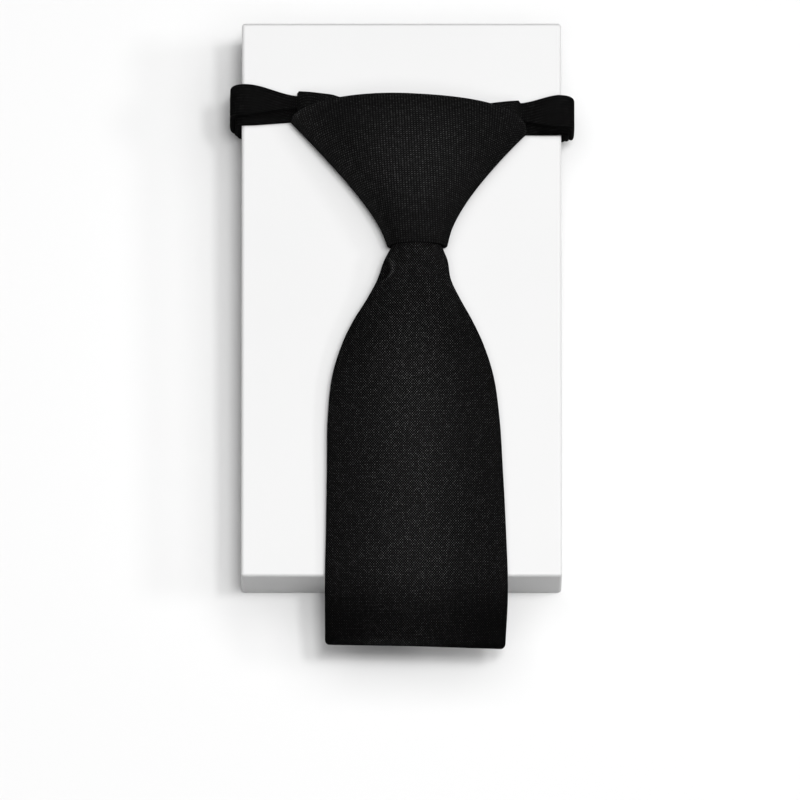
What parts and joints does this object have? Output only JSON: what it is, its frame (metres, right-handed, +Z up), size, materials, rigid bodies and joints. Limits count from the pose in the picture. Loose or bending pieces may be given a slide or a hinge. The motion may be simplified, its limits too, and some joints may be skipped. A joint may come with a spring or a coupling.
{
  "type": "zipper tie on a display block",
  "caption": "Short ready-knotted zip tie in matte black cloth with a square-ended blade, its neck loop wrapped round a plain white display block that lies flat.",
  "frame": {"origin": "middle of the footprint, on the surface that the block lies on", "axes": "+X across the block to the right, +Y along the block from the blade's end towards the knot, +Z up"},
  "size_m": [0.104, 0.1918, 0.0455],
  "materials": {
    "white_lacquer": "smooth white satin lacquer on a plain board block",
    "black_cloth": "matte black fine plain weave cut on the bias",
    "black_tape": "black woven zip tape, matte"
  },
  "bodies": {
    "root": {"display_block": "white_lacquer", "neck_band": "black_cloth", "knot_back": "black_cloth", "knot_face": "black_cloth", "blade": "black_cloth", "zip_tail": "black_tape"}
  },
  "joints": []
}
